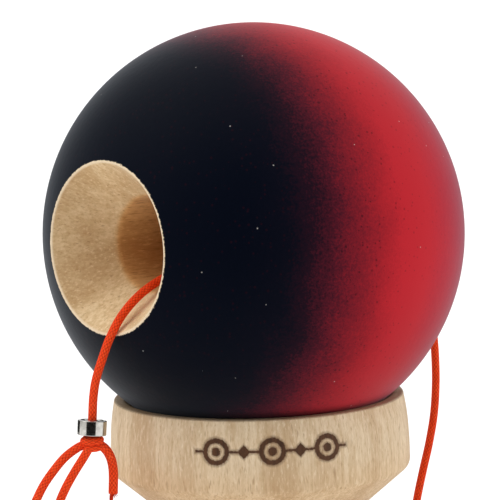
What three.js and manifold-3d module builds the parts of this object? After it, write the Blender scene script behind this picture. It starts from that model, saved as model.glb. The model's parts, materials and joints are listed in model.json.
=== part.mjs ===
// Kendama: a wooden skill toy. A ball with a bevelled hole rests in the big cup of a
// turned crosspiece, which stands on its small cup. A turned handle with a spike and a
// base cup passes through the crosspiece. One string ties the three together, and its
// end is held under the ball's hole by a knot with a miniature ball bearing above it.
// Millimetres, +Z up. The origin is under the middle of the toy, on the surface it
// stands on. The handle lies along X with its spike towards +X.
import * as THREE from 'three';
import { mergeVertices } from 'three/addons/utils/BufferGeometryUtils.js';
import Module from 'manifold-3d';

const wasm = await Module();
wasm.setup();

// ---- driving dimensions -------------------------------------------------------------

// Crosspiece, turned about the vertical axis at x = crossX, y = 0.
const crossX = 19.5;
const crossHeight = 70;
const bigRimRadius = 20.75;
const bigMouthRadius = 19.2;
const bigBandRadius = 21.45;
const bigBandHeight = 10.1;
const bigCupDepth = 8.8;
const smallRimRadius = 18.7;
const smallMouthRadius = 17.1;
const smallBandRadius = 19.4;
const smallBandHeight = 9.6;
const smallCupDepth = 8.4;
const neckRadius = 13.3;
const waistRadius = 15;
const waistHeight = 35;

// Handle, turned about the line along X at y = 0, z = waistHeight.
const spikeReach = 62;
const baseReach = 101;
const shoulderReach = 15.4;
const shankRadiusAtShoulder = 8.2;
const shankRadiusAtSpike = 7.5;
const gripRadius = 10.8;
const baseNeckRadius = 7.2;
const baseCupRadius = 17.8;
const baseMouthRadius = 15.6;
const baseCupDepth = 7.5;

// Ball, turned about the axis of its hole, which points down the front left.
const ballRadius = 30;
const ballHeight = 93.2;
const holeAzimuth = THREE.MathUtils.degToRad(-47.3);
const holeElevation = THREE.MathUtils.degToRad(1.8);
const mouthRadius = 11.8;
const boreRadius = 6.6;
const bevelStart = 19.5;
const boreEnd = -9.5;
const drillPointDepth = 3.9;
const ballStringHoleRadius = 1.2;

// String and its holes.
const stringRadius = 0.6;
const tailRadius = 0.65;
const stepLength = 3.6;
const crossStringHoleRadius = 1.4;
const kenStringHoleRadius = 1.2;
const knotPocketRadius = 2.6;
const knotPocketDepth = 3.6;
const coilRadius = 7;
const coilCentre = new THREE.Vector3(30, 28.5, 0);
const floorClearance = 0.05;
const touchGap = 0.3;

// Miniature bearing, 1.5 x 4 x 2 mm, threaded on the string as its bead.
const bearingOuterRadius = 2;
const bearingBoreRadius = 0.8;
const bearingHalfWidth = 1;
const innerRingRadius = 1.1;
const outerRingInside = 1.54;
const grooveDepth = 0.05;
const bearingBallRadius = 0.24;
const bearingBallCircle = 1.32;
const bearingBallCount = 7;
const shieldThickness = 0.12;
const shieldRecess = 0.1;
const shieldGap = 0.04;
const cageHalfThickness = 0.12;
const cageLow = 0.1;
const cageHigh = 0.44;
const cagePocketGap = 0.04;
const bearingLean = 0.11;

// Looks.
const beech = { color: 0xd8bd96, roughness: 0.6, metalness: 0 };
const paint = { color: 0x101c2c, roughness: 0.55, metalness: 0 };
const cord = { color: 0xe2491c, roughness: 0.8, metalness: 0 };
const steel = { color: 0xb9bcc0, roughness: 0.18, metalness: 1 };

// ---- helpers ------------------------------------------------------------------------

const group = new THREE.Group();

function addPiece(name, geometry, look) {
  const mesh = new THREE.Mesh(geometry, new THREE.MeshStandardMaterial(look));
  mesh.name = name;
  group.add(mesh);
  return mesh;
}

// Points along a circular arc in the profile plane; angles in degrees, the end included.
function arc(centreR, centreH, radius, fromDegrees, toDegrees, steps) {
  const points = [];
  for (let i = 0; i <= steps; i += 1) {
    const angle = THREE.MathUtils.degToRad(fromDegrees + ((toDegrees - fromDegrees) * i) / steps);
    points.push([centreR + radius * Math.cos(angle), centreH + radius * Math.sin(angle)]);
  }
  return points;
}

// The hollow of a cup: a spherical dish from the axis out to the cup's mouth.
function dish(mouth, depth, rimHeight, facing, steps) {
  const radius = (mouth * mouth + depth * depth) / (2 * depth);
  const half = Math.asin(mouth / radius);
  const points = [];
  for (let i = 0; i <= steps; i += 1) {
    const angle = (half * i) / steps;
    const sink = depth - radius * (1 - Math.cos(angle));
    points.push([radius * Math.sin(angle), rimHeight - facing * sink]);
  }
  return points;
}

// Turns a profile of [radius, height] points about +Z.
function turned(profile, segments) {
  const points = profile.map(([r, h]) => new THREE.Vector2(Math.max(r, 0), h));
  const geometry = new THREE.LatheGeometry(points, segments);
  geometry.rotateX(Math.PI / 2);
  return geometry;
}

function toSolid(geometry) {
  const bare = new THREE.BufferGeometry();
  bare.setAttribute('position', geometry.getAttribute('position').clone());
  bare.setIndex(geometry.getIndex());
  const merged = mergeVertices(bare, 1e-5);
  const corners = Array.from(merged.getIndex().array);
  const kept = [];
  for (let i = 0; i < corners.length; i += 3) {
    const [a, b, c] = corners.slice(i, i + 3);
    if (a !== b && b !== c && c !== a) kept.push(a, b, c);
  }
  return new wasm.Manifold(new wasm.Mesh({
    numProp: 3,
    vertProperties: new Float32Array(merged.getAttribute('position').array),
    triVerts: new Uint32Array(kept),
  }));
}

function toGeometry(solid) {
  const mesh = solid.getMesh();
  const geometry = new THREE.BufferGeometry();
  geometry.setAttribute('position', new THREE.BufferAttribute(mesh.vertProperties, 3));
  geometry.setIndex(new THREE.BufferAttribute(mesh.triVerts, 1));
  geometry.computeVertexNormals();
  return geometry;
}

function cutAway(geometry, tools) {
  const solid = tools.reduce((left, tool) => left.subtract(toSolid(tool)), toSolid(geometry));
  return toGeometry(solid);
}

// A drill of the given radius along Y, between two values of y, at x and z.
function drillAlongY(radius, fromY, toY, x, z, segments) {
  const geometry = new THREE.CylinderGeometry(radius, radius, toY - fromY, segments);
  geometry.translate(x, (fromY + toY) / 2, z);
  return geometry;
}

// A cord tube of eight sides along a smooth curve through hand-placed points.
function cordTube(points, radius) {
  const curve = new THREE.CatmullRomCurve3(points, false, 'centripetal');
  const section = new THREE.Shape(
    arc(0, 0, radius, 0, 315, 7).map(([x, y]) => new THREE.Vector2(x, y)),
  );
  return new THREE.ExtrudeGeometry(section, {
    steps: Math.ceil(curve.getLength() / stepLength),
    extrudePath: curve,
    bevelEnabled: false,
  });
}

// ---- frames -------------------------------------------------------------------------

const ballCentre = new THREE.Vector3(crossX, 0, ballHeight);
const outward = new THREE.Vector3(Math.sin(holeAzimuth), -Math.cos(holeAzimuth), 0);
const sideways = new THREE.Vector3(-outward.y, outward.x, 0);
const holeAxis = outward.clone().multiplyScalar(Math.cos(holeElevation));
holeAxis.z = Math.sin(holeElevation);

// A place given from the ball's centre: level distance towards the mouth, sideways, and up.
function fromBall([out, side, up]) {
  return ballCentre.clone()
    .addScaledVector(outward, out)
    .addScaledVector(sideways, side)
    .add(new THREE.Vector3(0, 0, up));
}

function place([x, y, z]) {
  return new THREE.Vector3(x, y, z);
}

// ---- wooden pieces ------------------------------------------------------------------

function crosspiece() {
  const top = crossHeight;
  const bigEdge = top - bigBandHeight;
  const profile = [
    ...dish(smallMouthRadius, smallCupDepth, 0, -1, 6),
    [smallRimRadius - 0.4, 0],
    [smallRimRadius, 0.4],
    [smallBandRadius - 0.2, smallBandHeight * 0.45],
    [smallBandRadius, smallBandHeight * 0.85],
    [smallBandRadius - 0.4, smallBandHeight + 0.6],
    [neckRadius + 1, smallBandHeight + 6.4],
    [neckRadius, smallBandHeight + 9],
    [waistRadius - 0.4, waistHeight - 8],
    [waistRadius, waistHeight],
    [waistRadius - 0.4, waistHeight + 8],
    [neckRadius, bigEdge - 9.2],
    [neckRadius + 1, bigEdge - 6.4],
    [bigBandRadius - 0.7, bigEdge - 0.6],
    [bigBandRadius - 0.1, bigEdge + 0.2],
    [bigBandRadius, bigEdge + 1.2],
    [bigBandRadius, bigEdge + 3.4],
    [bigBandRadius - 0.2, bigEdge + 6.6],
    [bigRimRadius + 0.15, top - 1.8],
    [bigRimRadius, top - 0.3],
    [bigRimRadius - 0.25, top],
    ...dish(bigMouthRadius, bigCupDepth, top, 1, 7).reverse(),
  ];
  const body = turned(profile, 40);
  const bore = new THREE.CylinderGeometry(
    shankRadiusAtSpike + touchGap,
    shankRadiusAtShoulder + touchGap,
    2 * waistRadius + 4,
    32,
  );
  bore.rotateZ(-Math.PI / 2);
  bore.translate(0, 0, waistHeight);
  const stringHole = drillAlongY(crossStringHoleRadius, 4, waistRadius + 2, 0, waistHeight, 16);
  const mesh = addPiece('crosspiece', cutAway(body, [bore, stringHole]), beech);
  mesh.position.x = crossX;
}

function handle() {
  const baseEdge = -baseReach;
  const profile = [
    ...dish(baseMouthRadius, baseCupDepth, baseEdge, -1, 6),
    [baseCupRadius - 0.6, baseEdge],
    [baseCupRadius - 0.2, baseEdge + 0.4],
    [baseCupRadius, baseEdge + 4],
    [baseCupRadius - 0.1, baseEdge + 7.4],
    [baseCupRadius - 0.8, baseEdge + 8.4],
    [baseNeckRadius + 1.4, baseEdge + 15.4],
    [baseNeckRadius, baseEdge + 19],
    [baseNeckRadius + 1.1, -74],
    [gripRadius - 0.6, -62],
    [gripRadius, -52],
    [gripRadius - 0.5, -38],
    [gripRadius - 1.4, -24],
    [gripRadius - 1.8, -shoulderReach - 0.6],
    [gripRadius - 2.2, -shoulderReach],
    [shankRadiusAtShoulder, -shoulderReach],
    [shankRadiusAtSpike, shoulderReach],
    [shankRadiusAtSpike - 0.5, 28],
    [shankRadiusAtSpike - 1.9, 44],
    [3.9, 56.5],
    ...arc(0, spikeReach - 3.2, 3.2, 20, 90, 4),
  ];
  const body = turned(profile, 32);
  body.rotateY(Math.PI / 2);
  const past = shankRadiusAtShoulder + 1.3;
  const stringHole = drillAlongY(kenStringHoleRadius, -past, past, 0, 0, 16);
  const pocketFloor = -shankRadiusAtShoulder + knotPocketDepth;
  const knotPocket = drillAlongY(knotPocketRadius, -past, pocketFloor, 0, 0, 16);
  const mesh = addPiece('handle', cutAway(body, [stringHole, knotPocket]), beech);
  mesh.position.set(crossX, 0, waistHeight);
}

function ball() {
  const mouthDegrees = THREE.MathUtils.radToDeg(Math.acos(mouthRadius / ballRadius));
  const backHole = ballStringHoleRadius + 0.7;
  const backDegrees = -THREE.MathUtils.radToDeg(Math.acos(backHole / ballRadius));
  const profile = [
    ...arc(0, 0, ballRadius, backDegrees, mouthDegrees, 22),
    [boreRadius, bevelStart],
    [boreRadius, boreEnd],
    [ballStringHoleRadius, boreEnd - drillPointDepth],
    [ballStringHoleRadius, -ballRadius + 1],
  ];
  profile.push(profile[0]);
  const mesh = addPiece('ball', turned(profile, 44), paint);
  mesh.position.copy(ballCentre);
  mesh.quaternion.setFromUnitVectors(new THREE.Vector3(0, 0, 1), holeAxis);
}

// ---- string -------------------------------------------------------------------------

// From the knot in the handle, out of the crosspiece's back, down and along to the coil.
const kenRoute = [
  [19.5, -4.3, 35], [19.5, 5, 35], [19.5, 15, 35], [19.5, 18.6, 34.9], [19.5, 21.6, 33.4],
  [19.5, 23.2, 30], [19.6, 23.4, 24], [19.9, 22.6, 16], [20.6, 21.5, 9], [21.2, 21.3, 4.5],
  [21.5, 22, 1.9], [21.7, 23.2, 0.9], [21.8, 24.4, 0.65],
].map(place);

// From the coil up to the small hole in the back of the ball.
const riseRoute = [
  [34.7, 36.4, 1.6], [37.3, 35.3, 2.5], [39.5, 33.2, 4.8], [40.8, 30.7, 9], [41.3, 28.2, 16],
  [41.4, 25.6, 25], [41.5, 23.2, 34], [41.9, 21.8, 42], [42.8, 21.7, 48.6], [44, 23, 53.4],
  [45.1, 24.1, 57.4], [46, 25, 61.8], [46.4, 25.4, 66.4], [46.4, 25.3, 70.6],
  [46.1, 25, 76], [45.9, 24.8, 82], [45.7, 24.4, 87], [44.8, 23.4, 90.6], [43.2, 21.8, 92.1],
  [40.2, 19.1, 92.3],
].map(place);

// Through the ball from back to front, over the lip of the mouth and down to the knot.
const throughRoute = [
  [-27.4, 0, -0.85], [-14, 0, -0.45], [-6, 0.1, -0.8], [4, 0.5, -1.8], [12, 1.1, -3],
  [18.6, 1.6, -4.1], [23.2, 1.7, -5.9], [26.6, 1.7, -8.4], [28.8, 1.7, -11.1],
  [30.4, 1.7, -14], [31.6, 1.7, -16.6], [32.15, 1.7, -18.8], [32.5, 1.7, -22], [32.72, 1.7, -24],
].map(fromBall);

// A loop left hanging from the knot, and the cut tail, both from the ball's centre in X, Y, Z.
const loopRoute = [
  [-24.9, -23.1, -25.8], [-26.6, -23.2, -27], [-28.3, -23.2, -28.9], [-29.8, -23.2, -31],
  [-31.3, -23.2, -34], [-32.6, -23.4, -37.4], [-33, -23.7, -40.4], [-32, -23.9, -42.9],
  [-30.2, -24, -43.6], [-28.6, -24, -42.3], [-28.1, -24, -39.4], [-28.1, -24, -36.4],
  [-27.8, -24, -33.8], [-26.8, -24, -31.4], [-25.4, -24, -29], [-24, -23.9, -26.9],
].map((point) => place(point).add(ballCentre));
const tailRoute = [
  [-21.2, -22.6, -26.1], [-20.5, -22.4, -27.4], [-20.2, -22.4, -29], [-20.3, -22.4, -32.4],
].map((point) => place(point).add(ballCentre));

const knotCentre = place([-22.9, -23.3, -25.25]).add(ballCentre);

function knot(name, halfWidth, halfHeight, centre, axis) {
  const geometry = new THREE.SphereGeometry(1, 14, 8);
  geometry.rotateX(Math.PI / 2);
  geometry.scale(halfWidth, halfWidth, halfHeight);
  const mesh = addPiece(name, geometry, cord);
  mesh.position.copy(centre);
  mesh.quaternion.setFromUnitVectors(new THREE.Vector3(0, 0, 1), axis);
}

function stringPieces() {
  knot('handle_knot', 1.9, 1.2, place([crossX, -5.9, waistHeight]), new THREE.Vector3(0, 1, 0));
  addPiece('string_from_handle', cordTube(kenRoute, stringRadius), cord);

  const coilHalf = 2 * stringRadius;
  const low = floorClearance;
  const high = floorClearance + 4 * stringRadius;
  const ring = turned([
    [coilRadius - coilHalf, low],
    [coilRadius + coilHalf, low],
    [coilRadius + coilHalf, high],
    [coilRadius - coilHalf, high],
    [coilRadius - coilHalf, low],
  ], 28);
  const coil = addPiece('string_coil', ring, cord);
  coil.position.copy(coilCentre);

  addPiece('string_to_ball', cordTube(riseRoute, stringRadius), cord);
  addPiece('string_through_ball', cordTube(throughRoute, stringRadius), cord);
  knot('stopper_knot', 1.65, 1.05, knotCentre, new THREE.Vector3(0, 0, 1));
  addPiece('string_loop', cordTube(loopRoute, stringRadius), cord);
  addPiece('string_tail', cordTube(tailRoute, tailRadius), cord);
}

// ---- bearing ------------------------------------------------------------------------

const bearingCentre = fromBall([32.61, 1.7, -23]);
const upright = new THREE.Vector3(0, 0, 1);
const bearingAxis = upright.clone().addScaledVector(outward, -bearingLean).normalize();

// A ring with a shallow race groove on one side, given by its plain wall and its other wall.
function raceRing(plainRadius, raceRadius) {
  const intoRing = Math.sign(plainRadius - raceRadius);
  const half = bearingHalfWidth;
  const race = [
    [raceRadius, half],
    [raceRadius, 0.22],
    [raceRadius + intoRing * grooveDepth, 0],
    [raceRadius, -0.22],
    [raceRadius, -half],
  ];
  const wall = [[plainRadius, -half], [plainRadius, half]];
  const profile = [...race, ...wall, race[0]];
  return intoRing > 0 ? profile : profile.reverse();
}

function bearing() {
  const assembly = new THREE.Group();
  assembly.position.copy(bearingCentre);
  assembly.quaternion.setFromUnitVectors(new THREE.Vector3(0, 0, 1), bearingAxis);
  group.add(assembly);

  const add = (name, geometry) => assembly.add(addPiece(name, geometry, steel));
  add('bearing_inner_ring', turned(raceRing(bearingBoreRadius, innerRingRadius), 28));
  add('bearing_outer_ring', turned(raceRing(bearingOuterRadius, outerRingInside), 32));

  const shieldInside = innerRingRadius + shieldGap;
  const shieldOutside = outerRingInside - shieldGap;
  for (const [name, facing] of [['upper', 1], ['lower', -1]]) {
    const outer = facing * (bearingHalfWidth - shieldRecess);
    const inner = outer - facing * shieldThickness;
    const low = Math.min(outer, inner);
    const high = Math.max(outer, inner);
    add(`bearing_${name}_shield`, turned([
      [shieldInside, low], [shieldOutside, low], [shieldOutside, high],
      [shieldInside, high], [shieldInside, low],
    ], 28));
  }

  const pockets = [];
  for (let i = 0; i < bearingBallCount; i += 1) {
    const angle = (2 * Math.PI * i) / bearingBallCount;
    const x = bearingBallCircle * Math.cos(angle);
    const y = bearingBallCircle * Math.sin(angle);
    const sphere = new THREE.SphereGeometry(bearingBallRadius, 10, 6);
    sphere.translate(x, y, 0);
    add(`bearing_ball_${i + 1}`, sphere);
    const pocket = new THREE.SphereGeometry(bearingBallRadius + cagePocketGap, 12, 8);
    pocket.translate(x, y, 0);
    pockets.push(pocket);
  }
  const cageInside = bearingBallCircle - cageHalfThickness;
  const cageOutside = bearingBallCircle + cageHalfThickness;
  const crown = turned([
    [cageInside, cageLow], [cageOutside, cageLow], [cageOutside, cageHigh],
    [cageInside, cageHigh], [cageInside, cageLow],
  ], 28);
  add('bearing_cage', cutAway(crown, pockets));
}

crosspiece();
handle();
ball();
stringPieces();
bearing();

export default group;
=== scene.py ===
import json
import math

import bmesh
import bpy
import numpy as np
from mathutils import Matrix, Vector


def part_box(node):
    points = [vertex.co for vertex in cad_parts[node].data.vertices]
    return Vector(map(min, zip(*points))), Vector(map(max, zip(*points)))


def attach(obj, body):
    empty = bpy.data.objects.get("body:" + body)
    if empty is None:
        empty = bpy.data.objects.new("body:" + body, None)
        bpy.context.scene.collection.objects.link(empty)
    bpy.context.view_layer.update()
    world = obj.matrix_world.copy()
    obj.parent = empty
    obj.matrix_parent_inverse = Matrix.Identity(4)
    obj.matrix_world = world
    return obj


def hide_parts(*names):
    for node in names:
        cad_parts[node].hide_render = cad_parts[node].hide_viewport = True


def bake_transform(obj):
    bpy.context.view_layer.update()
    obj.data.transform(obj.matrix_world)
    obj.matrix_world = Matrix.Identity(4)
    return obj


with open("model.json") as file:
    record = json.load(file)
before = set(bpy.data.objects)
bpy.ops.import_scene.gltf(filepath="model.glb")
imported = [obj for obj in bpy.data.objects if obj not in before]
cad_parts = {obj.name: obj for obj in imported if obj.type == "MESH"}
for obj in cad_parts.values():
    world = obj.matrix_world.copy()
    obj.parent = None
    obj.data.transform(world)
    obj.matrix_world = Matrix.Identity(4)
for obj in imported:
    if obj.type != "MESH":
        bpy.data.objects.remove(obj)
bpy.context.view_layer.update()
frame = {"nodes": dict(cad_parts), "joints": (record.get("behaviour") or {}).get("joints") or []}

# ---- places and sizes ---------------------------------------------------------------
# Lengths named here are millimetres, and MM turns them into the scene's metres.

MM = 0.001
JOINTS = {joint["name"]: joint for joint in frame["joints"]}
UP = Vector((0, 0, 1))

BALL_CENTRE = Vector(JOINTS["ball_spin"]["pos_m"]) / MM
HOLE_AXIS = Vector(JOINTS["ball_spin"]["axis"]).normalized()
HOLE_SIDE = HOLE_AXIS.cross(UP).normalized()
BEARING_CENTRE = Vector(JOINTS["bearing_spin"]["pos_m"]) / MM
BEARING_AXIS = Vector(JOINTS["bearing_spin"]["axis"]).normalized()

CROSS_X = BALL_CENTRE.x
CROSS_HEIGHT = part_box("crosspiece")[1].z / MM
WAIST_HEIGHT = CROSS_HEIGHT / 2
BIG_MOUTH, BIG_DEPTH, BIG_RIM, BIG_BAND = 19.2, 8.8, 20.7, 21.45
SMALL_MOUTH, SMALL_DEPTH, SMALL_BAND = 17.1, 8.4, 19.4
NECK, WAIST = 13.3, 15.0
BAND_HEIGHT = 10.25
CROSS_STRING_HOLE, CROSS_HOLE_FLARE = 1.4, 1.5

BASE_REACH = CROSS_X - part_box("handle")[0].x / MM
SPIKE_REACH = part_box("handle")[1].x / MM - CROSS_X
SHOULDER_REACH = 15.4
SHANK_AT_SHOULDER, SHANK_AT_SPIKE = 8.2, 7.5
GRIP, BASE_NECK, BASE_CUP, BASE_MOUTH, BASE_DEPTH = 10.8, 7.2, 17.8, 15.6, 7.5
BORE_GAP = 0.3
SPIKE_TIP = 3.2
HANDLE_STRING_HOLE, KNOT_POCKET, KNOT_POCKET_END = 1.2, 2.6, -4.6
HANDLE_KNOT_Y = -5.9

BALL_RADIUS = 30.0
MOUTH, BORE, BEVEL_START, BORE_END, DRILL_POINT = 11.8, 6.6, 19.5, -9.5, 3.9
BALL_STRING_HOLE = 1.2

STRING = 0.6
TAIL = 0.65
COIL_RADIUS, COIL_TURNS = 7.0, 4.25
COIL_CENTRE = Vector((30, 28.5, 0))
FLOOR_GAP = 0.05

# The camera stands a step back from the ball and looks a little down on it.
VIEW_DISTANCE = 450.0
VIEW_PITCH = math.radians(7.37)
VIEW_ROLL = math.radians(1.77)
VIEW_RIGHT, VIEW_UP = 0.52, 2.37
LENS = 227.6
SENSOR = 36.0


# ---- camera -------------------------------------------------------------------------


def make_camera():
    data = bpy.data.cameras.new("camera")
    data.lens = LENS
    data.sensor_width = SENSOR
    camera = bpy.data.objects.new("camera", data)
    bpy.context.scene.collection.objects.link(camera)
    turn = Matrix.Rotation(math.pi / 2 - VIEW_PITCH, 4, "X") @ Matrix.Rotation(-VIEW_ROLL, 4, "Z")
    offset = Vector((-VIEW_RIGHT, -VIEW_UP, VIEW_DISTANCE))
    camera.matrix_world = Matrix.Translation((BALL_CENTRE + turn.to_3x3() @ offset) * MM) @ turn
    data.clip_start = 0.01
    data.clip_end = 50
    bpy.context.scene.camera = camera


# ---- mesh helpers -------------------------------------------------------------------


def new_piece(name, vertices, faces, material, sharp_degrees=40):
    """A shown mesh from points in millimetres, smooth except at edges sharper than the angle."""
    mesh = bpy.data.meshes.new(name)
    mesh.from_pydata((np.asarray(vertices, float) * MM).tolist(), [], faces)
    mesh.update()
    mesh.materials.append(material)
    piece = bpy.data.objects.new(name, mesh)
    bpy.context.scene.collection.objects.link(piece)
    finish_surface(mesh, sharp_degrees)
    return piece


def finish_surface(mesh, sharp_degrees):
    work = bmesh.new()
    work.from_mesh(mesh)
    bmesh.ops.recalc_face_normals(work, faces=work.faces)
    work.to_mesh(mesh)
    work.free()
    mesh.polygons.foreach_set("use_smooth", [True] * len(mesh.polygons))
    mesh.set_sharp_from_angle(angle=math.radians(sharp_degrees))


def turned(outline, segments):
    """Points and faces of a solid turned about +Z from (radius, height) pairs. It closes on the
    axis where the outline starts or ends there, and on itself where the ends meet."""
    closed = outline[0] == outline[-1]
    rows = outline[:-1] if closed else outline
    vertices, rings = [], []
    for radius, height in rows:
        count = 1 if radius < 1e-6 else segments
        rings.append(range(len(vertices), len(vertices) + count))
        for k in range(count):
            angle = 2 * math.pi * k / segments
            vertices.append((radius * math.cos(angle), radius * math.sin(angle), height))
    faces = []
    pairs = list(zip(rings, rings[1:]))
    if closed:
        pairs.append((rings[-1], rings[0]))
    for low, high in pairs:
        for k in range(segments):
            after = (k + 1) % segments
            corners = [low[k % len(low)], low[after % len(low)]]
            corners += [high[after % len(high)], high[k % len(high)]]
            faces.append(list(dict.fromkeys(corners)))
    return np.array(vertices), faces


def placed(vertices, axis, origin):
    """Points turned from +Z to the axis, and moved to the origin."""
    turn = np.array(UP.rotation_difference(Vector(axis)).to_matrix())
    return vertices @ turn.T + np.array(origin)


def eased(corners, steps=6):
    """An outline through (radius, height, ease) corners, each rounded over the length ease."""
    outline = []
    for k, (r, h, ease) in enumerate(corners):
        here = Vector((r, h))
        if not ease:
            outline.append((r, h))
            continue
        before = here + (Vector(corners[k - 1][:2]) - here).normalized() * ease
        after = here + (Vector(corners[k + 1][:2]) - here).normalized() * ease
        for i in range(steps + 1):
            t = i / steps
            point = before * (1 - t) ** 2 + here * 2 * t * (1 - t) + after * t**2
            outline.append((point.x, point.y))
    return outline


def dish(mouth, depth, rim_height, facing, steps=24):
    """The hollow of a cup: a spherical dish from the axis out to just inside its mouth."""
    radius = (mouth**2 + depth**2) / (2 * depth)
    half = math.asin(mouth / radius)
    points = []
    for k in range(steps):
        angle = half * k / steps
        sink = depth - radius * (1 - math.cos(angle))
        points.append((radius * math.sin(angle), rim_height - facing * sink, 0))
    return points


def smooth_line(points, spacing):
    """Evenly spaced points along a centripetal Catmull-Rom curve through the given points."""
    points = np.array(points, float)
    ends = (2 * points[0] - points[1], 2 * points[-1] - points[-2])
    points = np.vstack([ends[0], points, ends[1]])
    fine = []
    for p0, p1, p2, p3 in zip(points, points[1:], points[2:], points[3:]):
        knots = np.cumsum([0] + [np.linalg.norm(b - a) ** 0.5 for a, b in ((p0, p1), (p1, p2), (p2, p3))])
        t = np.linspace(knots[1], knots[2], 24, endpoint=False)[:, None]
        a1 = p0 + (p1 - p0) * (t - knots[0]) / (knots[1] - knots[0])
        a2 = p1 + (p2 - p1) * (t - knots[1]) / (knots[2] - knots[1])
        a3 = p2 + (p3 - p2) * (t - knots[2]) / (knots[3] - knots[2])
        b1 = a1 + (a2 - a1) * (t - knots[0]) / (knots[2] - knots[0])
        b2 = a2 + (a3 - a2) * (t - knots[1]) / (knots[3] - knots[1])
        fine.append(b1 + (b2 - b1) * (t - knots[1]) / (knots[2] - knots[1]))
    fine = np.vstack([*fine, points[-2:-1]])
    along = np.concatenate([[0], np.cumsum(np.linalg.norm(np.diff(fine, axis=0), axis=1))])
    at = np.linspace(0, along[-1], max(2, round(along[-1] / spacing) + 1))
    return np.stack([np.interp(at, along, fine[:, k]) for k in range(3)], axis=1)


def cut_away(piece, cutters):
    """Cuts the cutters out of a piece, and removes them."""
    for cutter in cutters:
        modifier = piece.modifiers.new("cut", "BOOLEAN")
        modifier.operation = "DIFFERENCE"
        modifier.solver = "EXACT"
        modifier.object = cutter
    shown = piece.evaluated_get(bpy.context.evaluated_depsgraph_get())
    mesh = bpy.data.meshes.new_from_object(shown)
    piece.modifiers.clear()
    piece.data = mesh
    for cutter in cutters:
        bpy.data.objects.remove(cutter)
    finish_surface(mesh, 30)


def drill(outline, axis, origin, material, segments=96):
    vertices, faces = turned(outline, segments)
    return new_piece("drill", placed(vertices, axis, origin), faces, material)


# ---- material helpers ---------------------------------------------------------------


def srgb(red, green, blue):
    """A colour given as a screen shows it, from 0 to 255, as the shader takes it."""
    shares = [value / 255 for value in (red, green, blue)]
    return (*[s / 12.92 if s <= 0.04045 else ((s + 0.055) / 1.055) ** 2.4 for s in shares], 1.0)


class Shader:
    """A material with one Principled shader, and short calls that add nodes to it."""

    def __init__(self, name):
        self.material = bpy.data.materials.new(name)
        self.material.use_nodes = True
        self.tree = self.material.node_tree
        self.surface = self.tree.nodes["Principled BSDF"]

    def feed(self, socket, value):
        if isinstance(value, bpy.types.NodeSocket):
            self.tree.links.new(value, socket)
        else:
            socket.default_value = value

    def set(self, **values):
        for name, value in values.items():
            self.feed(self.surface.inputs[name.replace("_", " ")], value)

    def node(self, kind, inputs, **settings):
        node = self.tree.nodes.new("ShaderNode" + kind)
        for name, value in settings.items():
            setattr(node, name, value)
        for socket, value in inputs.items():
            self.feed(node.inputs[socket], value)
        return node

    def math(self, operation, *values):
        return self.node("Math", dict(enumerate(values)), operation=operation).outputs[0]

    def vector(self, operation, *values, out="Vector"):
        node = self.node("VectorMath", dict(enumerate(values)), operation=operation)
        return node.outputs[out]

    def scaled(self, vector, factor):
        return self.node("VectorMath", {0: vector, "Scale": factor}, operation="SCALE").outputs[0]

    def noise(self, place, scale, detail=2.0, roughness=0.5):
        inputs = {"Vector": place, "Scale": scale, "Detail": detail, "Roughness": roughness}
        return self.node("TexNoise", inputs).outputs["Fac"]

    def wander(self, place, scale, reach, detail=2.0, roughness=0.5):
        """A smooth random distance about zero, whose whole spread is the reach."""
        noise = self.noise(place, scale, detail, roughness)
        return self.math("MULTIPLY", self.math("SUBTRACT", noise, 0.5), reach)

    def cells(self, place, scale, out="Distance"):
        return self.node("TexVoronoi", {"Vector": place, "Scale": scale}).outputs[out]

    def between(self, value, low, high, start=0.0, end=1.0):
        """start below low, end above high, and a smooth step between them."""
        inputs = {"Value": value, "From Min": low, "From Max": high, "To Min": start, "To Max": end}
        return self.node("MapRange", inputs, interpolation_type="SMOOTHSTEP").outputs[0]

    def mix(self, share, first, second):
        return self.node("Mix", {0: share, 6: first, 7: second}, data_type="RGBA").outputs[2]

    def tint(self, share, colour, by):
        """The colour multiplied by another, as far as the share says."""
        inputs = {0: share, 6: colour, 7: by}
        return self.node("Mix", inputs, data_type="RGBA", blend_type="MULTIPLY").outputs[2]

    def ramp(self, share, stops):
        node = self.node("ValToRGB", {0: share})
        elements = node.color_ramp.elements
        while len(elements) < len(stops):
            elements.new(0.5)
        for element, (position, colour) in zip(elements, stops):
            element.position = position
            element.color = colour
        return node.outputs[0]

    def bump(self, height, distance_mm, strength=1.0):
        inputs = {"Height": height, "Distance": distance_mm * MM, "Strength": strength}
        self.set(Normal=self.node("Bump", inputs).outputs[0])

    def place(self):
        """Where the point is, in millimetres of the row's frame at rest."""
        return self.scaled(self.node("TexCoord", {}).outputs["Object"], 1 / MM)

    def stretched(self, place, axis, share):
        """The place with its distance along the axis shortened, so that a pattern runs along it."""
        along = self.vector("DOT_PRODUCT", place, tuple(axis), out="Value")
        pull = self.math("MULTIPLY", along, share - 1)
        return self.vector("ADD", place, self.scaled(tuple(axis), pull))


# ---- materials ----------------------------------------------------------------------

WOOD_PALE = srgb(236, 216, 186)
WOOD_LIGHT = srgb(226, 203, 170)
WOOD_MIDDLE = srgb(212, 186, 150)
WOOD_DARK = srgb(186, 152, 112)
WOOD_FLECK = srgb(158, 122, 86)
BURNT = srgb(48, 27, 14)
BURNT_EDGE = srgb(104, 66, 38)
FADE_TIP = 0.05    # how far up the navy leans, for each millimetre of height


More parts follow.
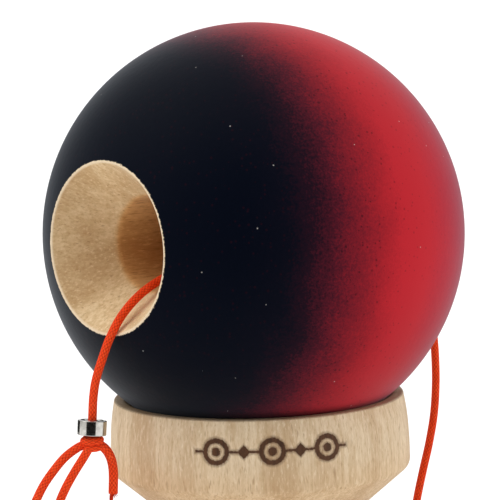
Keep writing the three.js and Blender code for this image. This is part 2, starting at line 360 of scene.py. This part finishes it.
def wood_look(shader, place, grain):
    """(colour, height) of sanded beech whose grain runs along the given axis."""
    tone = shader.noise(shader.stretched(place, grain, 0.07), 0.2, 2)
    streak = shader.noise(shader.stretched(place, grain, 0.06), 1.3, 3, 0.65)
    dash = shader.noise(shader.stretched(place, grain, 0.2), 3.2, 3, 0.7)
    fleck = shader.noise(shader.stretched(place, grain, 0.14), 3.2, 1)
    base = shader.mix(shader.between(streak, 0.36, 0.64), WOOD_LIGHT, WOOD_MIDDLE)
    base = shader.mix(shader.between(tone, 0.42, 0.68, 0, 0.6), base, WOOD_DARK)
    base = shader.mix(shader.between(dash, 0.5, 0.72, 0, 0.68), base, WOOD_DARK)
    base = shader.mix(shader.between(dash, 0.47, 0.3, 0, 0.7), base, WOOD_PALE)
    base = shader.mix(shader.between(fleck, 0.64, 0.76, 0, 0.5), base, WOOD_FLECK)
    height = shader.math("ADD", streak, shader.math("MULTIPLY", dash, -1.6))
    return base, height


def wood_material(name, grain):
    shader = Shader(name)
    colour, height = wood_look(shader, shader.place(), grain)
    shader.set(Base_Color=colour, Roughness=0.58, Specular_IOR_Level=0.25)
    shader.bump(height, 0.16, 0.6)
    return shader.material


def motif(shader, place):
    """Distance in millimetres to the border burnt into the big cup's band, less than zero inside
    it: rings with a dot, joined by a line with a lozenge on it."""
    count, pitch, first, level = 3, 7.9, -10.2, CROSS_HEIGHT - 4.3
    ring, stroke, dot, lozenge, line, margin = 1.55, 0.34, 0.62, 0.95, 0.17, 0.9
    reach = count * pitch / 2
    from_centre = shader.vector("SUBTRACT", place, (CROSS_X, 0, level))
    parts = shader.node("SeparateXYZ", {0: from_centre})
    backwards = shader.math("MULTIPLY", parts.outputs[1], -1)
    angle = shader.math("ARCTAN2", parts.outputs[0], backwards)
    run = shader.math("SUBTRACT", shader.math("MULTIPLY", angle, BIG_BAND), first)
    high = shader.math("ABSOLUTE", parts.outputs[2])
    wrapped = shader.math("FLOORED_MODULO", run, pitch)
    across = shader.math("ABSOLUTE", shader.math("SUBTRACT", wrapped, pitch / 2))
    squares = shader.math("ADD", shader.math("POWER", across, 2), shader.math("POWER", high, 2))
    out = shader.math("SQRT", squares)

    to_ring = shader.math("ABSOLUTE", shader.math("SUBTRACT", out, ring))
    shape = shader.math("SUBTRACT", to_ring, stroke)
    shape = shader.math("MINIMUM", shape, shader.math("SUBTRACT", out, dot))
    to_edge = shader.math("SUBTRACT", pitch / 2, across)
    lozenges = shader.math("SUBTRACT", shader.math("ADD", to_edge, high), lozenge)
    shape = shader.math("MINIMUM", shape, lozenges)
    to_line = shader.math("SUBTRACT", high, line)
    lines = shader.math("MAXIMUM", to_line, shader.math("SUBTRACT", ring, across))
    shape = shader.math("MINIMUM", shape, lines)
    from_middle = shader.math("ABSOLUTE", shader.math("SUBTRACT", run, reach))
    past_ends = shader.math("SUBTRACT", from_middle, reach - margin)
    shape = shader.math("MAXIMUM", shape, past_ends)
    level_place = shader.vector("MULTIPLY", from_centre, (1, 1, 0))
    from_axis = shader.vector("LENGTH", level_place, out="Value")
    inside_cup = shader.math("SUBTRACT", BIG_MOUTH + 1, from_axis)
    shape = shader.math("MAXIMUM", shape, inside_cup)
    return shader.math("ADD", shape, shader.wander(place, 3.5, 0.35))


def crosspiece_material():
    shader = Shader("crosspiece_beech")
    place = shader.place()
    colour, height = wood_look(shader, place, (0, 0, 1))
    height_up = shader.node("SeparateXYZ", {0: place}).outputs[2]
    # The rim's flat top is darker: partly burnished wear, partly painted shade where the seated ball
    # covers it.
    worn_and_shaded_rim = shader.between(height_up, CROSS_HEIGHT - 0.25, CROSS_HEIGHT - 0.1, 0, 0.38)
    colour = shader.mix(worn_and_shaded_rim, colour, srgb(92, 66, 48))
    low = shader.between(height_up, CROSS_HEIGHT - 5, CROSS_HEIGHT - 10)
    colour = shader.tint(low, colour, (0.98, 0.92, 0.85, 1.0))
    mark = motif(shader, place)
    halo = shader.between(mark, 0.0, 0.45, 0.55, 0.0)
    core = shader.between(mark, -0.1, 0.06, 1.0, 0.0)
    burn = shader.mix(shader.noise(shader.stretched(place, UP, 0.1), 2.5), BURNT, BURNT_EDGE)
    colour = shader.mix(halo, colour, BURNT_EDGE)
    colour = shader.mix(core, colour, burn)
    shader.set(Base_Color=colour, Roughness=0.56, Specular_IOR_Level=0.25)
    shader.bump(shader.math("SUBTRACT", height, shader.math("MULTIPLY", core, 1.6)), 0.16, 0.6)
    return shader.material


def paint_colour(shader, along, place):
    """Airbrushed navy that fades to red away from the ball's mouth, with specks of overspray.
    Along is the distance from the ball's centre towards the middle of the navy."""
    cloud = shader.wander(place, 0.16, 3.5)
    grain = shader.wander(place, 1.3, 3, 3, 0.65)
    mist = shader.wander(place, 3.2, 6.5, 2, 0.65)
    wavy = shader.math("ADD", shader.math("ADD", along, cloud), shader.math("ADD", grain, mist))
    far, near = -24.0, 22.0
    share = shader.node("MapRange", {"Value": wavy, "From Min": far, "From Max": near}).outputs[0]

    def stop(distance, colour):
        return ((distance - far) / (near - far), srgb(*colour))

    # Past its middle the red darkens and turns a little blue towards the back: painted shade, with a
    # trace of painted reflection at the far rim.
    colour = shader.ramp(share, [
        stop(-22, (134, 26, 58)), stop(-13, (166, 30, 50)), stop(-5, (190, 35, 45)),
        stop(0, (188, 35, 45)), stop(3.5, (166, 31, 41)), stop(7, (130, 26, 38)),
        stop(10.5, (80, 20, 34)), stop(13.5, (34, 13, 26)), stop(16.5, (8, 9, 22)),
        stop(21, (3, 7, 20)),
    ])
    drops_per_mm = 1.7
    pick = shader.node("SeparateColor", {0: shader.cells(place, drops_per_mm, "Color")}).outputs[0]
    size = shader.between(pick, 0.45, 1.0, 0.0, 0.3)
    speck = shader.math("LESS_THAN", shader.cells(place, drops_per_mm), size)
    fading = shader.between(wavy, -12, 8, 0.12, 0.5)
    return shader.mix(shader.math("MULTIPLY", speck, fading), colour, srgb(36, 10, 20))


def dust(shader, place):
    """A few tiny pale specks."""
    specks_per_mm = 0.42
    pick = shader.node("SeparateColor", {0: shader.cells(place, specks_per_mm, "Color")}).outputs[1]
    chosen = shader.math("GREATER_THAN", pick, 0.5)
    inside = shader.math("LESS_THAN", shader.cells(place, specks_per_mm), 0.042)
    return shader.math("MULTIPLY", inside, chosen)


def ball_material():
    """Bare beech inside the mouth and the bore, and matt paint outside, with a ragged edge."""
    shader = Shader("painted_ball")
    place = shader.place()
    from_centre = shader.vector("SUBTRACT", place, tuple(BALL_CENTRE))
    along = shader.vector("DOT_PRODUCT", from_centre, tuple(HOLE_AXIS), out="Value")
    length = shader.vector("LENGTH", from_centre, out="Value")
    squares = shader.math("SUBTRACT", shader.math("POWER", length, 2), shader.math("POWER", along, 2))
    out = shader.math("SQRT", shader.math("MAXIMUM", squares, 0.0))

    wood, wood_height = wood_look(shader, place, HOLE_AXIS)
    wood = shader.tint(1.0, wood, (1.07, 1.06, 0.97, 1.0))
    # Painted shade: the bare wood of the mouth and bore is darker on its left side, away from the light.
    to_the_left = shader.vector("DOT_PRODUCT", from_centre, tuple(HOLE_SIDE), out="Value")
    painted_left_wall_shade = shader.between(to_the_left, 3, 10)
    wood = shader.tint(painted_left_wall_shade, wood, (0.84, 0.8, 0.76, 1.0))
    wood = shader.mix(shader.between(out, MOUTH - 0.25, MOUTH, 0, 0.8), wood, WOOD_PALE)
    # Painted shade: the bore's wall is darker and browner deep inside the hole.
    near_axis = shader.between(out, BORE + 0.7, BORE)
    deep = shader.between(along, BEVEL_START + 1, BEVEL_START)
    wood = shader.tint(shader.math("MULTIPLY", near_axis, deep), wood, (0.96, 0.76, 0.54, 1.0))

    height_up = shader.node("SeparateXYZ", {0: from_centre}).outputs[2]
    tipped = shader.math("ADD", along, shader.math("MULTIPLY", height_up, FADE_TIP))
    paint = paint_colour(shader, tipped, place)
    # Painted shade: the paint is darker towards the bottom of the ball.
    painted_underside_shade = shader.between(height_up, -2, -26)
    paint = shader.tint(painted_underside_shade, paint, (0.74, 0.74, 0.74, 1.0))
    # Painted shade: the paint is a little darker over the top of the ball.
    painted_top_shade = shader.between(height_up, 8, 26)
    paint = shader.tint(painted_top_shade, paint, (0.88, 0.88, 0.88, 1.0))
    paint = shader.mix(shader.math("MULTIPLY", dust(shader, place), 0.6), paint, srgb(190, 185, 180))

    edge = shader.math("ADD", out, shader.wander(place, 3.0, 0.6, 3, 0.75))
    front = shader.between(edge, MOUTH + 0.2, MOUTH + 0.3)
    beyond_string_hole = shader.math("GREATER_THAN", edge, BALL_STRING_HOLE + 0.75)
    at_back = shader.math("LESS_THAN", along, -0.7 * BALL_RADIUS)
    back = shader.math("MULTIPLY", beyond_string_hole, at_back)
    painted = shader.math("MAXIMUM", front, back)

    peel = shader.noise(place, 1.1, 2, 0.5)
    fine = shader.noise(place, 6, 2, 0.5)
    skin = shader.math("ADD", shader.math("MULTIPLY", peel, 0.5), shader.math("MULTIPLY", fine, 0.12))
    wood_height = shader.math("MULTIPLY", wood_height, 0.8)
    height = shader.node("Mix", {0: painted, 2: wood_height, 3: skin}).outputs[0]
    rough = shader.math("ADD", shader.math("MULTIPLY", painted, -0.14), 0.62)
    rough = shader.math("ADD", rough, shader.math("MULTIPLY", peel, 0.1))
    shader.set(Base_Color=shader.mix(painted, wood, paint), Roughness=rough, Specular_IOR_Level=0.02)
    shader.set(Sheen_Weight=0.19, Sheen_Roughness=0.38, Sheen_Tint=(0.85, 0.92, 1.0, 1.0))
    shader.bump(height, 0.12, 0.3)
    return shader.material


def cord_material():
    """Braided polyester: two families of strands wind opposite ways and pass over each other."""
    strands, pitch = 8, 5.2
    shader = Shader("braided_cord")
    parts = shader.node("SeparateXYZ", {0: shader.node("UVMap", {}, uv_map="cord").outputs[0]})
    round_it = shader.math("MULTIPLY", parts.outputs[0], strands)
    along = shader.math("MULTIPLY", parts.outputs[1], strands / pitch)
    first = shader.math("ADD", round_it, along)
    second = shader.math("SUBTRACT", round_it, along)
    cell = shader.math("ADD", shader.math("FLOOR", first), shader.math("FLOOR", second))
    second_on_top = shader.math("FLOORED_MODULO", cell, 2)
    first = shader.math("FLOORED_MODULO", first, 1)
    second = shader.math("FLOORED_MODULO", second, 1)
    across = shader.node("Mix", {0: second_on_top, 2: first, 3: second}).outputs[0]
    ahead = shader.node("Mix", {0: second_on_top, 2: second, 3: first}).outputs[0]
    ridge = shader.math("POWER", shader.math("SINE", shader.math("MULTIPLY", across, math.pi)), 0.6)
    arch = shader.math("SINE", shader.math("MULTIPLY", ahead, math.pi))
    lift = shader.math("MULTIPLY", ridge, shader.math("ADD", shader.math("MULTIPLY", arch, 0.6), 0.4))
    place = shader.place()
    fibre = shader.noise(place, 6, 3, 0.7)
    patch = shader.noise(place, 0.8, 2)
    # Painted shade and painted highlight: the braid is darker in the grooves between strands and lighter
    # on their crowns.
    colour = shader.mix(shader.between(lift, 0.0, 0.75), srgb(184, 36, 10), srgb(255, 72, 24))
    colour = shader.mix(shader.between(fibre, 0.5, 0.7, 0, 0.55), colour, srgb(255, 132, 76))
    colour = shader.mix(shader.between(fibre, 0.46, 0.3, 0, 0.45), colour, srgb(172, 28, 8))
    colour = shader.mix(shader.between(patch, 0.4, 0.7, 0, 0.2), colour, srgb(206, 42, 12))
    shader.set(Base_Color=colour, Roughness=0.7, Specular_IOR_Level=0.1)
    shader.bump(shader.math("ADD", shader.math("MULTIPLY", fibre, 0.5), lift), 0.1, 1.0)
    return shader.material


def steel_material(name, tone, roughness):
    """Polished bearing steel with fine turning lines and faint smudges."""
    shader = Shader(name)
    place = shader.place()
    lines = shader.noise(shader.stretched(place, BEARING_AXIS, 8), 1.5, 2)
    smudge = shader.noise(place, 1.2, 3)
    colour = shader.mix(shader.between(smudge, 0.35, 0.7), srgb(*tone), srgb(*[t - 22 for t in tone]))
    rough = shader.math("ADD", shader.math("MULTIPLY", smudge, 0.12), roughness)
    shader.set(Base_Color=colour, Metallic=1.0, Roughness=rough)
    shader.bump(lines, 0.01, 0.25)
    return shader.material


# ---- string -------------------------------------------------------------------------


def from_ball(point):
    """A place given from the ball's centre: level distance towards the mouth, sideways, and up."""
    out = Vector((HOLE_AXIS.x, HOLE_AXIS.y, 0)).normalized()
    side = Vector((-out.y, out.x, 0))
    return BALL_CENTRE + out * point[0] + side * point[1] + UP * point[2]


def beside_ball(point):
    return BALL_CENTRE + Vector(point)


# From the knot in the handle, out of the crosspiece's back, down and along to the coil.
HANDLE_ROUTE = [
    (19.5, -4.3, 35), (19.5, 5, 35), (19.5, 15, 35), (19.5, 18.6, 34.9), (19.5, 21.6, 33.4),
    (19.5, 23.2, 30), (19.6, 23.4, 24), (19.9, 22.6, 16), (20.6, 21.5, 9), (21.2, 21.3, 4.5),
    (21.5, 22, 1.9), (21.7, 23.2, 0.9), (21.8, 24.4, 0.65),
]
# From the coil up to the small hole in the back of the ball.
RISE_ROUTE = [
    (34.7, 36.4, 1.6), (37.3, 35.3, 2.5), (39.5, 33.2, 4.8), (40.8, 30.7, 9), (41.3, 28.2, 16),
    (41.4, 25.6, 25), (41.5, 23.2, 34), (41.9, 21.8, 42), (42.8, 21.7, 48.6), (44, 23, 53.4),
    (45.1, 24.1, 57.4), (46, 25, 61.8), (46.4, 25.4, 66.4), (46.4, 25.3, 70.6),
    (46.1, 25, 76), (45.9, 24.8, 82), (45.7, 24.4, 87), (44.8, 23.4, 90.6), (43.2, 21.8, 92.1),
    (40.2, 19.1, 92.3),
]
# Through the ball from back to front, over the lip of the mouth and down to the knot.
THROUGH_ROUTE = [from_ball(point) for point in (
    (-27.4, 0, -0.85), (-14, 0, -0.45), (-6, 0.1, -0.8), (4, 0.5, -1.8), (12, 1.1, -3),
    (18.6, 1.6, -4.1), (23.2, 1.7, -5.9), (26.6, 1.7, -8.4), (28.8, 1.7, -11.1),
    (30.4, 1.7, -14), (31.6, 1.7, -16.6), (32.15, 1.7, -18.8), (32.5, 1.7, -22), (32.72, 1.7, -24),
)]
# The loop left hanging from the knot, and the cut tail.
LOOP_ROUTE = [beside_ball(point) for point in (
    (-23.8, -23.1, -25.3), (-24.9, -23.1, -25.8), (-26.6, -23.2, -27), (-28.3, -23.2, -28.9),
    (-29.8, -23.2, -31), (-31.3, -23.2, -34), (-32.6, -23.4, -37.4), (-33, -23.7, -40.4),
    (-32, -23.9, -42.9), (-30.2, -24, -43.6), (-28.6, -24, -42.3), (-28.1, -24, -39.4),
    (-28.1, -24, -36.4), (-27.8, -24, -33.8), (-26.8, -24, -31.4), (-25.4, -24, -29),
    (-24, -23.9, -26.9), (-23.2, -23.8, -25.6),
)]
TAIL_ROUTE = [beside_ball(point) for point in (
    (-22.4, -22.9, -25.2), (-21.2, -22.6, -26.1), (-20.5, -22.4, -27.4), (-20.2, -22.4, -29),
    (-20.3, -22.4, -32.4),
)]
KNOT_CENTRE = beside_ball((-22.95, -23.3, -25.2))


def coil_turns():
    """The put-away length: turns one beside and one above another, a diameter apart."""
    points_per_turn = 24
    start = math.radians(186)
    count = round(COIL_TURNS * points_per_turn)
    points = []
    for k in range(count + 1):
        turn = COIL_TURNS * k / count
        angle = start - 2 * math.pi * turn - math.radians(6)
        inner = smooth_step(turn, 0.95, 1.2) - smooth_step(turn, 2.95, 3.2)
        upper = smooth_step(turn, 1.95, 2.2)
        radius = COIL_RADIUS + STRING - 2 * STRING * inner
        height = FLOOR_GAP + STRING + 2 * STRING * upper
        points.append(COIL_CENTRE + Vector((radius * math.cos(angle), radius * math.sin(angle), height)))
    return points


def smooth_step(value, low, high):
    share = min(max((value - low) / (high - low), 0), 1)
    return share * share * (3 - 2 * share)


def cord_piece(name, line, radius, material, around=24):
    """A round cord along a fine line. Its UV map holds turns round it and millimetres along it."""
    count = len(line)
    tangents = np.gradient(line, axis=0)
    tangents /= np.linalg.norm(tangents, axis=1)[:, None]
    normal = np.cross(tangents[0], (0.3, 0.9, 0.2))
    angles = 2 * np.pi * np.arange(around)[:, None] / around
    rings = []
    for centre, tangent in zip(line, tangents):
        normal = normal - tangent * np.dot(normal, tangent)
        normal /= np.linalg.norm(normal)
        side = np.cross(tangent, normal)
        rings.append(centre + radius * (np.cos(angles) * normal + np.sin(angles) * side))
    vertices = np.vstack([*rings, line[:1], line[-1:]])
    faces = []
    for i in range(count - 1):
        here, there = i * around, (i + 1) * around
        for j in range(around):
            after = (j + 1) % around
            faces.append((here + j, here + after, there + after, there + j))
    first_cap, last_cap = count * around, count * around + 1
    last_ring = (count - 1) * around
    for j in range(around):
        after = (j + 1) % around
        faces.append((first_cap, after, j))
        faces.append((last_cap, last_ring + j, last_ring + after))
    piece = new_piece(name, vertices, faces, material, sharp_degrees=60)
    along = np.concatenate([[0], np.cumsum(np.linalg.norm(np.diff(line, axis=0), axis=1))])
    map_cord(piece.data, along, around)
    return piece


def map_cord(mesh, along, around):
    layer = mesh.uv_layers.new(name="cord")
    corners = np.zeros(len(mesh.loops), np.int32)
    mesh.loops.foreach_get("vertex_index", corners)
    ring, slot = np.divmod(corners, around)
    quads = slot[: 4 * (len(along) - 1) * around].reshape(-1, 4)
    over_seam = quads.max(axis=1) - quads.min(axis=1) > 1
    quads[over_seam] = np.where(quads[over_seam] == 0, around, quads[over_seam])
    uv = np.stack([slot / around, along[np.minimum(ring, len(along) - 1)]], axis=1)
    layer.data.foreach_set("uv", uv.astype(np.float32).ravel())


def main_string(material):
    """The string from the handle, wound in its coil, and up to the ball's back."""
    line = smooth_line(HANDLE_ROUTE + coil_turns() + RISE_ROUTE, 0.16)
    piece = cord_piece("string_main", line, STRING, material)
    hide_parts("string_from_handle", "string_coil", "string_to_ball")
    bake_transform(piece)


def knot_line():
    """A stopper knot: down through the middle, then two turns round it, the lower one smaller."""
    points = [(0, 0, 1.1), (0, 0, 0.3), (0.1, 0.35, -0.35)]
    turns, points_per_turn = 2.1, 14
    count = round(turns * points_per_turn)
    for k in range(count + 1):
        share = k / count
        angle = math.radians(100) + 2 * math.pi * turns * share
        radius = 0.78 + 0.32 * smooth_step(share, 0.2, 0.6)
        aside = 0.26 * (1 - share)
        height = -0.5 + 0.95 * smooth_step(share, 0.25, 0.65)
        points.append((aside + radius * math.cos(angle), radius * math.sin(angle), height))
    return points + [(-0.2, 0.4, 0.3), (0.1, 0.1, -0.2)]


def knot_piece(name, node, body, centre, axis, material):
    line = placed(smooth_line(knot_line(), 0.08), axis, centre)
    piece = cord_piece(name, line, STRING * 0.94, material)
    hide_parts(node)
    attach(piece, body)
    return piece


def frayed_core(material):
    """The core and a few loose filaments at the tail's cut end."""
    end = np.array(TAIL_ROUTE[-1])
    rng = np.random.default_rng(5)
    strands = [(0.3, np.array([-0.1, 0, 0.4]), np.array([-0.35, -0.1, -1.6]))]
    for _ in range(7):
        lean = rng.uniform(-0.4, 0.4, 2)
        strands.append((0.07, np.array([*lean, 0.2]), np.array([*lean * 1.5, -rng.uniform(0.3, 0.8)])))
    vertices, faces = [], []
    sides = 10
    for radius, start, tip in strands:
        middle = (start + tip) / 2 + np.array([*rng.uniform(-0.1, 0.1, 2), 0])
        line = smooth_line([end + start, end + middle, end + tip], 0.1)
        first = len(vertices)
        for k, point in enumerate(line):
            reach = radius * (1 - 0.6 * (k / (len(line) - 1)) ** 3)
            for j in range(sides):
                angle = 2 * math.pi * j / sides
                vertices.append(point + reach * np.array([math.cos(angle), math.sin(angle), 0]))
        for k in range(len(line) - 1):
            low = first + k * sides
            for j in range(sides):
                after = (j + 1) % sides
                faces.append((low + j, low + after, low + sides + after, low + sides + j))
        faces.append(tuple(range(first + sides - 1, first - 1, -1)))
        faces.append(tuple(range(len(vertices) - sides, len(vertices))))
    return new_piece("string_tail_fray", vertices, faces, material)


def ball_string(material, bearing_pieces):
    """The string through the ball, its stopper knot, its tail and its loop."""
    knot = knot_piece("stopper_knot_cord", "stopper_knot", "string_end", KNOT_CENTRE, UP, material)
    tail = cord_piece("string_tail_cord", smooth_line(TAIL_ROUTE, 0.1), TAIL, material)
    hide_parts("string_tail")
    fray = frayed_core(material)
    for piece in (tail, fray):
        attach(piece, "string_end")

    line = smooth_line(THROUGH_ROUTE, 0.09)
    through = cord_piece("string_through", line, STRING, material)
    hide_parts("string_through_ball")
    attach(through, "string_end")

    line = smooth_line(LOOP_ROUTE, 0.09)
    loop = cord_piece("string_loop_cord", line, STRING, material)
    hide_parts("string_loop")
    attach(loop, "string_end")


# ---- wooden pieces ------------------------------------------------------------------


def crosspiece():
    top = CROSS_HEIGHT
    edge = top - BAND_HEIGHT
    corners = [
        *dish(SMALL_MOUTH, SMALL_DEPTH, 0, -1),
        (SMALL_MOUTH, 0, 0.3), (18.7, 0, 0.5), (19.2, 3.6, 1.6), (SMALL_BAND, 7.4, 1.5),
        (SMALL_BAND, 9.8, 1.1), (NECK, 16.2, 3.4), (NECK, 20.6, 2.4),
        (WAIST - 0.35, 27, 2.5), (WAIST, 32, 2.4), (WAIST, 38, 2.4), (WAIST - 0.35, 43, 2.5),
        (NECK, edge - 9.8, 2.4), (NECK, edge - 7, 2.6),
        (BIG_BAND, edge, 0.7), (BIG_BAND, edge + 3, 1.0), (BIG_BAND - 0.2, edge + 7, 1.6),
        (BIG_RIM, top, 0.28), (BIG_MOUTH, top, 0.25),
        *reversed(dish(BIG_MOUTH, BIG_DEPTH, top, 1)),
    ]
    vertices, faces = turned(eased(corners), 256)
    vertices = vertices + np.array([CROSS_X, 0, 0])
    piece = new_piece("crosspiece_wood", vertices, faces, crosspiece_material())
    reach = WAIST + 2
    wall = piece.data.materials[0]
    wide, narrow = SHANK_AT_SHOULDER + BORE_GAP, SHANK_AT_SPIKE + BORE_GAP
    bore = [(0, -reach), (wide, -reach), (narrow, reach), (0, reach)]
    straight, flared = CROSS_STRING_HOLE, CROSS_STRING_HOLE + CROSS_HOLE_FLARE
    flare_start, past = WAIST - 0.9, WAIST + 0.6
    hole = [(0, 4), (straight, 4), (straight, flare_start), (flared, past), (0, past)]
    centre = (CROSS_X, 0, WAIST_HEIGHT)
    cut_away(piece, [drill(bore, (1, 0, 0), centre, wall), drill(hole, (0, 1, 0), centre, wall, 48)])
    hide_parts("crosspiece")
    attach(piece, "cross_and_handle")


def handle():
    base = -BASE_REACH
    tip = []
    for degrees in range(20, 90, 7):
        angle = math.radians(degrees)
        height = SPIKE_REACH - SPIKE_TIP + SPIKE_TIP * math.sin(angle)
        tip.append((SPIKE_TIP * math.cos(angle), height, 0))
    corners = [
        *dish(BASE_MOUTH, BASE_DEPTH, base, -1),
        (BASE_MOUTH, base, 0.3), (BASE_CUP - 0.2, base, 0.55), (BASE_CUP, base + 4, 1.5),
        (BASE_CUP, base + 8, 1.2), (BASE_NECK + 0.6, base + 16.2, 3.4), (BASE_NECK, base + 20, 1.9),
        (BASE_NECK + 1.1, -74, 3), (GRIP - 0.6, -62, 4.5), (GRIP, -52, 4.5), (GRIP - 0.5, -38, 6),
        (GRIP - 1.4, -24, 4), (GRIP - 1.9, -SHOULDER_REACH, 0.5), (SHANK_AT_SHOULDER, -SHOULDER_REACH, 0),
        (SHANK_AT_SPIKE, SHOULDER_REACH, 0), (SHANK_AT_SPIKE - 0.5, 28, 5),
        (SHANK_AT_SPIKE - 1.9, 44, 6), (3.9, 56.5, 1.5), *tip, (0, SPIKE_REACH, 0),
    ]
    vertices, faces = turned(eased(corners), 192)
    centre = (CROSS_X, 0, WAIST_HEIGHT)
    piece = new_piece("handle_wood", placed(vertices, (1, 0, 0), centre), faces,
                      wood_material("handle_beech", (1, 0, 0)))
    wall = piece.data.materials[0]
    past = 9.5
    hole = [(0, -past), (HANDLE_STRING_HOLE, -past), (HANDLE_STRING_HOLE, past), (0, past)]
    pocket = [(0, -past), (KNOT_POCKET, -past), (KNOT_POCKET, KNOT_POCKET_END), (0, KNOT_POCKET_END)]
    cut_away(piece, [drill(outline, (0, 1, 0), centre, wall, 48) for outline in (hole, pocket)])
    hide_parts("handle")
    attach(piece, "cross_and_handle")


def ball():
    lip = 0.3
    front = math.asin(MOUTH / BALL_RADIUS)
    back = math.pi - math.asin((BALL_STRING_HOLE + 0.7) / BALL_RADIUS)
    steps = 150
    shell = []
    for k in range(1, steps):
        angle = back + (front - back) * k / steps
        shell.append((BALL_RADIUS * math.sin(angle), BALL_RADIUS * math.cos(angle), 0))
    mouth_plane = math.sqrt(BALL_RADIUS**2 - MOUTH**2)
    rows = 12
    step = (BORE_END - BEVEL_START) / rows
    bore_wall = [(BORE, BEVEL_START + step * k, 0) for k in range(1, rows)]
    corners = [
        *shell,
        (MOUTH, mouth_plane, lip), (BORE, BEVEL_START, 0.5), *bore_wall,
        (BORE, BORE_END, 0), (BALL_STRING_HOLE, BORE_END - DRILL_POINT, 0),
        (BALL_STRING_HOLE, -BALL_RADIUS + 1.2, 0.2),
        (BALL_STRING_HOLE + 0.5, -BALL_RADIUS + 0.3, 0.2),
        (BALL_RADIUS * math.sin(back), BALL_RADIUS * math.cos(back), 0),
    ]
    outline = eased(corners, 8)
    vertices, faces = turned(outline + outline[:1], 256)
    vertices = placed(vertices, HOLE_AXIS, BALL_CENTRE)
    piece = new_piece("ball_wood", vertices, faces, ball_material())
    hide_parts("ball")
    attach(piece, "ball")


# ---- bearing ------------------------------------------------------------------------


def ring_outline(inside, outside, low, high, ease):
    corners = [(inside, low, ease), (outside, low, ease), (outside, high, ease), (inside, high, ease)]
    before, after = (inside, high, 0), (inside, low, 0)
    outline = eased([before, *corners, after], 4)[1:-1]
    return outline + outline[:1]


def bearing():
    """Smooth rings and shields for the bead. The balls and the cage inside keep their CAD shape."""
    polished = steel_material("polished_steel", (208, 205, 198), 0.07)
    pressed = steel_material("pressed_shield", (176, 176, 178), 0.24)
    rings = {
        "outer_ring": (1.54, 2.0, -1.0, 1.0, 0.09, "bearing_shell", polished),
        "inner_ring": (0.8, 1.1, -1.0, 1.0, 0.05, "bearing_core", polished),
        "upper_shield": (1.14, 1.51, 0.78, 0.9, 0.02, "bearing_shell", pressed),
        "lower_shield": (1.14, 1.51, -0.9, -0.78, 0.02, "bearing_shell", pressed),
    }
    made = []
    for name, (inside, outside, low, high, ease, body, material) in rings.items():
        vertices, faces = turned(ring_outline(inside, outside, low, high, ease), 96)
        node = "bearing_" + name
        vertices = placed(vertices, BEARING_AXIS, BEARING_CENTRE)
        piece = new_piece(node + "_steel", vertices, faces, material, 60)
        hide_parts(node)
        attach(piece, body)
        made.append(piece)
    for node, piece in frame["nodes"].items():
        if node == "bearing_cage" or node.startswith("bearing_ball_"):
            piece.data.materials.clear()
            piece.data.materials.append(polished)
            made.append(piece)
    return made


# ---- stage --------------------------------------------------------------------------


def make_floor():
    reach = 4.0
    shader = Shader("floor_paper")
    speckle = shader.noise(shader.place(), 0.02, 2)
    paper = shader.mix(speckle, srgb(254, 254, 254), srgb(251, 251, 252))
    shader.set(Base_Color=paper, Roughness=0.9)
    corners = [(-reach, -reach, 0), (reach, -reach, 0), (reach, reach, 0), (-reach, reach, 0)]
    floor = new_piece("floor", np.array(corners) / MM, [(0, 1, 2, 3)], shader.material)


def dark_card(name, left, right, bottom, top, lights_surfaces):
    """An upright dark card above the line between two floor points, which the camera doesn't see."""
    shader = Shader(name)
    shader.set(Base_Color=srgb(8, 8, 8), Roughness=1.0)
    corners = [(*left, bottom), (*right, bottom), (*right, top), (*left, top)]
    card = new_piece(name, np.array(corners) / MM, [(0, 1, 2, 3)], shader.material)
    card.visible_camera = False
    card.visible_shadow = False
    card.visible_diffuse = lights_surfaces


def sun(name, direction, power, spread_degrees):
    data = bpy.data.lights.new(name, "SUN")
    data.energy = power
    data.angle = math.radians(spread_degrees)
    light = bpy.data.objects.new(name, data)
    light.rotation_mode = "QUATERNION"
    light.rotation_quaternion = Vector(direction).to_track_quat("-Z", "Y")
    bpy.context.scene.collection.objects.link(light)


def make_lights():
    """A white room with soft light from above on both sides, and a dark wall behind the camera."""
    world = bpy.data.worlds.new("studio")
    world.use_nodes = True
    background = world.node_tree.nodes["Background"]
    background.inputs["Color"].default_value = (1, 1, 1, 1)
    background.inputs["Strength"].default_value = 0.82
    bpy.context.scene.world = world
    bpy.context.scene.view_settings.view_transform = "Standard"
    sun("upper_left", (0.6, 0.1, -1), 1.25, 50)
    sun("upper_right", (-0.9, 0.1, -0.8), 0.5, 50)
    dark_card("wall_behind_camera", (-0.5, -0.9), (0.5, -0.9), 0.16, 0.94, True)
    # The polished steel mirrors these two: one in front of it, one behind it on the left.
    dark_card("front_card", (-0.21, -0.25), (0.14, -0.25), 0.001, 0.5, False)
    dark_card("left_card", (-0.45, 0.12), (-0.2, 0.4), 0.001, 0.5, False)


# ---- everything ---------------------------------------------------------------------

make_camera()
cord_look = cord_material()
knot_piece("handle_knot_cord", "handle_knot", "cross_and_handle",
           (CROSS_X, HANDLE_KNOT_Y, WAIST_HEIGHT), (0, 1, 0), cord_look)
main_string(cord_look)
ball_string(cord_look, bearing())
crosspiece()
handle()
ball()
make_floor()
make_lights()
